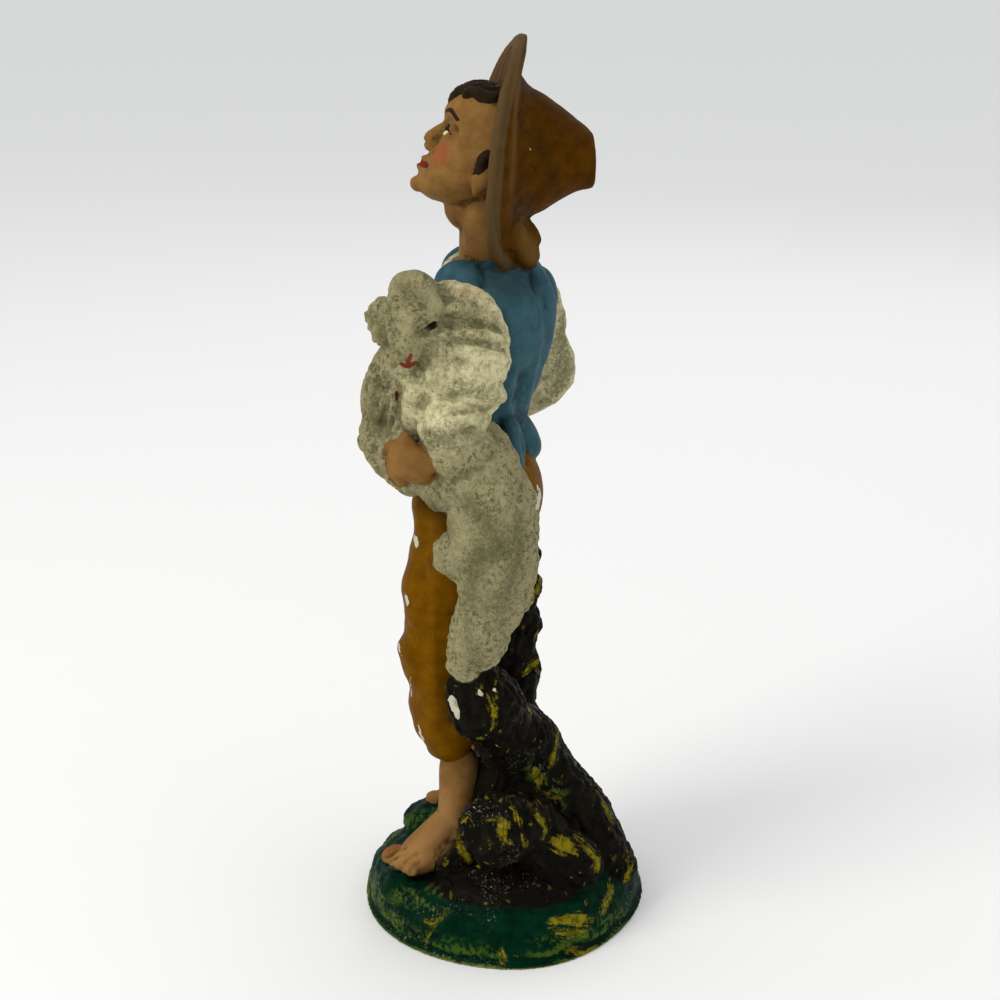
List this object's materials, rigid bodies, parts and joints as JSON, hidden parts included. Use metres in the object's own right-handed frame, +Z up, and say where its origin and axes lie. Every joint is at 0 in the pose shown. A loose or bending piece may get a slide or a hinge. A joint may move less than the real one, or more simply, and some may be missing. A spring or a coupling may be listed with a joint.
{
  "type": "nativity shepherd figurine",
  "caption": "Cast and painted nativity shepherd boy in a thrown-back hat, holding a lamb under one arm, standing before a gnarled stump on an oval mound.",
  "frame": {"origin": "on the flat underside of the mound, near the middle of its oval", "axes": "+Z is up; the figure faces -Y; its left side, with the lamb, is on +X"},
  "size_m": [0.0572, 0.0496, 0.1497],
  "materials": {
    "painted_cast": "hand painted plaster, dull with a slight sheen, rubbed and chipped"
  },
  "bodies": {
    "root": {"shepherd_figurine": "painted_cast"}
  },
  "joints": []
}
